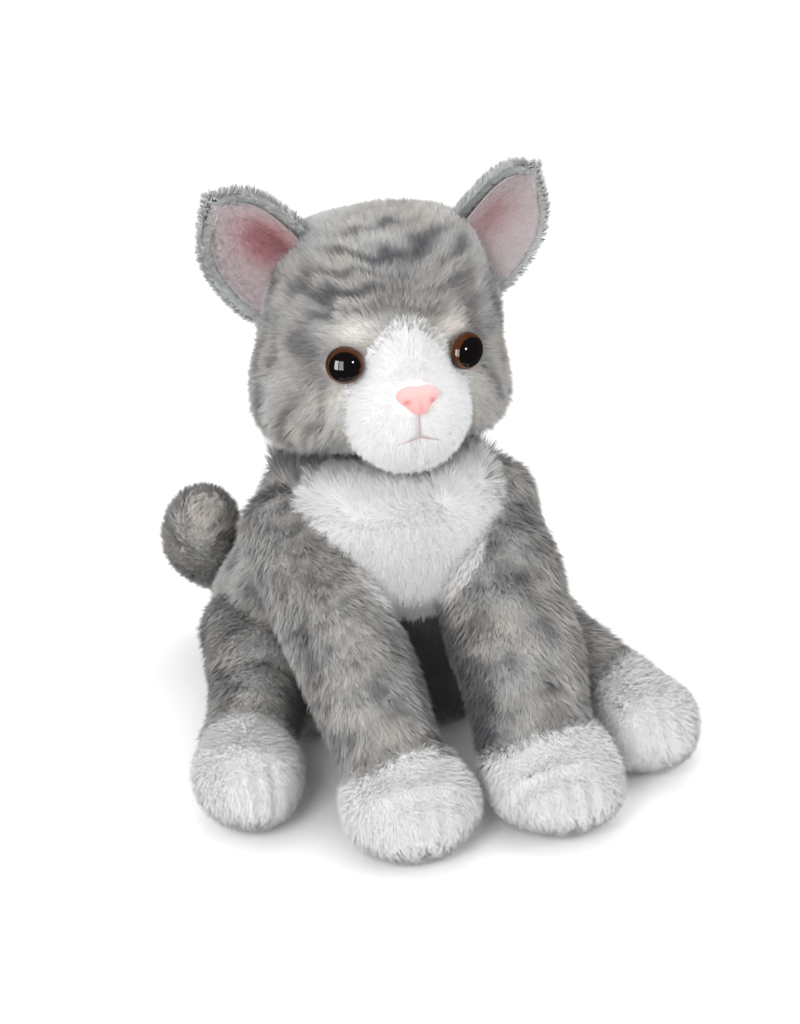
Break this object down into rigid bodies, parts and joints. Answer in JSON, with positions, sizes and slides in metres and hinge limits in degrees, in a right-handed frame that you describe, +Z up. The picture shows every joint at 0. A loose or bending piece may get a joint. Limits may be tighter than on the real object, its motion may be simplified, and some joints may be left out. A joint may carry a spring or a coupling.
{
  "type": "plush cat",
  "caption": "Sitting stuffed cat with a jointed head, floppy legs, ears and tail, safety eyes and a weighted seat.",
  "frame": {"origin": "on the plane the cat sits on, midway between its left and right sides, on the flat seat under the torso", "axes": "+Z up, the cat faces -Y, its left side is +X and its right side is -X; the tail lies round its right side"},
  "size_m": [0.2463, 0.2827, 0.2738],
  "materials": {
    "grey_tabby_pile": "combed pile",
    "white_pile": "combed pile",
    "ear_back_pile": "short pile",
    "ear_velour": "smooth velour",
    "polyester_fibre": "loose fibre",
    "pouch_cloth": "woven",
    "neck_cloth": "woven",
    "eye_lens": "polished",
    "eye_iris": "painted",
    "washer_plastic": "moulded",
    "nose_pink": "flocked",
    "mouth_thread": "embroidered"
  },
  "bodies": {
    "torso": {"torso_cover": "grey_tabby_pile", "torso_filling": "polyester_fibre", "pellet_pouch": "pouch_cloth", "chest_bib": "white_pile"},
    "neck": {"neck_panel": "neck_cloth"},
    "head": {"head_cover": "grey_tabby_pile", "head_filling": "polyester_fibre", "muzzle_panel": "white_pile", "nose": "nose_pink", "nose_washer": "washer_plastic", "mouth_stitch": "mouth_thread", "eye_lens_left": "eye_lens", "eye_lens_right": "eye_lens", "eye_iris_left": "eye_iris", "eye_iris_right": "eye_iris", "eye_washer_left": "washer_plastic", "eye_washer_right": "washer_plastic"},
    "ear_left": {"ear_back_left": "ear_back_pile", "ear_lining_left": "ear_velour"},
    "ear_right": {"ear_back_right": "ear_back_pile", "ear_lining_right": "ear_velour"},
    "foreleg_left": {"foreleg_left_cover": "grey_tabby_pile", "foreleg_left_filling": "polyester_fibre", "forepaw_left_cover": "white_pile", "forepaw_left_filling": "polyester_fibre"},
    "foreleg_right": {"foreleg_right_cover": "grey_tabby_pile", "foreleg_right_filling": "polyester_fibre", "forepaw_right_cover": "white_pile", "forepaw_right_filling": "polyester_fibre"},
    "hindleg_left": {"hindleg_left_cover": "grey_tabby_pile", "hindleg_left_filling": "polyester_fibre", "hindpaw_left_cover": "white_pile", "hindpaw_left_filling": "polyester_fibre"},
    "hindleg_right": {"hindleg_right_cover": "grey_tabby_pile", "hindleg_right_filling": "polyester_fibre", "hindpaw_right_cover": "white_pile", "hindpaw_right_filling": "polyester_fibre"},
    "tail": {"tail_cover": "grey_tabby_pile", "tail_filling": "polyester_fibre"}
  },
  "joints": [
    {"name": "head_turn", "type": "hinge", "parent": "torso", "child": "neck", "pos_m": [0, 0.004, 0.1994], "axis": [0, 0, 1], "range_deg": [-25, 25], "stiffness_Nm_per_rad": 0.9},
    {"name": "head_nod", "type": "hinge", "parent": "neck", "child": "head", "pos_m": [0, 0.004, 0.1994], "axis": [1, 0, 0], "range_deg": [-12, 3], "stiffness_Nm_per_rad": 0.9},
    {"name": "ear_left_flap", "type": "hinge", "parent": "head", "child": "ear_left", "pos_m": [0.05229, 0.00818, 0.23391], "axis": [0.6415, 0.1166, -0.7582], "range_deg": [-15, 15], "stiffness_Nm_per_rad": 0.03},
    {"name": "ear_right_flap", "type": "hinge", "parent": "head", "child": "ear_right", "pos_m": [-0.05229, 0.00818, 0.23391], "axis": [0.6415, -0.1166, 0.7582], "range_deg": [-15, 15], "stiffness_Nm_per_rad": 0.03},
    {"name": "foreleg_left_swing", "type": "hinge", "parent": "torso", "child": "foreleg_left", "pos_m": [0.052, -0.01, 0.108], "axis": [1, 0, 0], "range_deg": [-25, 2], "stiffness_Nm_per_rad": 0.6},
    {"name": "foreleg_right_swing", "type": "hinge", "parent": "torso", "child": "foreleg_right", "pos_m": [-0.052, -0.01, 0.108], "axis": [1, 0, 0], "range_deg": [-25, 2], "stiffness_Nm_per_rad": 0.6},
    {"name": "hindleg_left_spread", "type": "hinge", "parent": "torso", "child": "hindleg_left", "pos_m": [0.059, 0.016, 0.04], "axis": [0, 0, 1], "range_deg": [0, 25], "stiffness_Nm_per_rad": 0.5},
    {"name": "hindleg_right_spread", "type": "hinge", "parent": "torso", "child": "hindleg_right", "pos_m": [-0.059, 0.016, 0.04], "axis": [0, 0, -1], "range_deg": [0, 25], "stiffness_Nm_per_rad": 0.5},
    {"name": "tail_swing", "type": "hinge", "parent": "torso", "child": "tail", "pos_m": [-0.006, 0.074, 0.034], "axis": [0, 0, -1], "range_deg": [-3, 30], "stiffness_Nm_per_rad": 0.25}
  ]
}
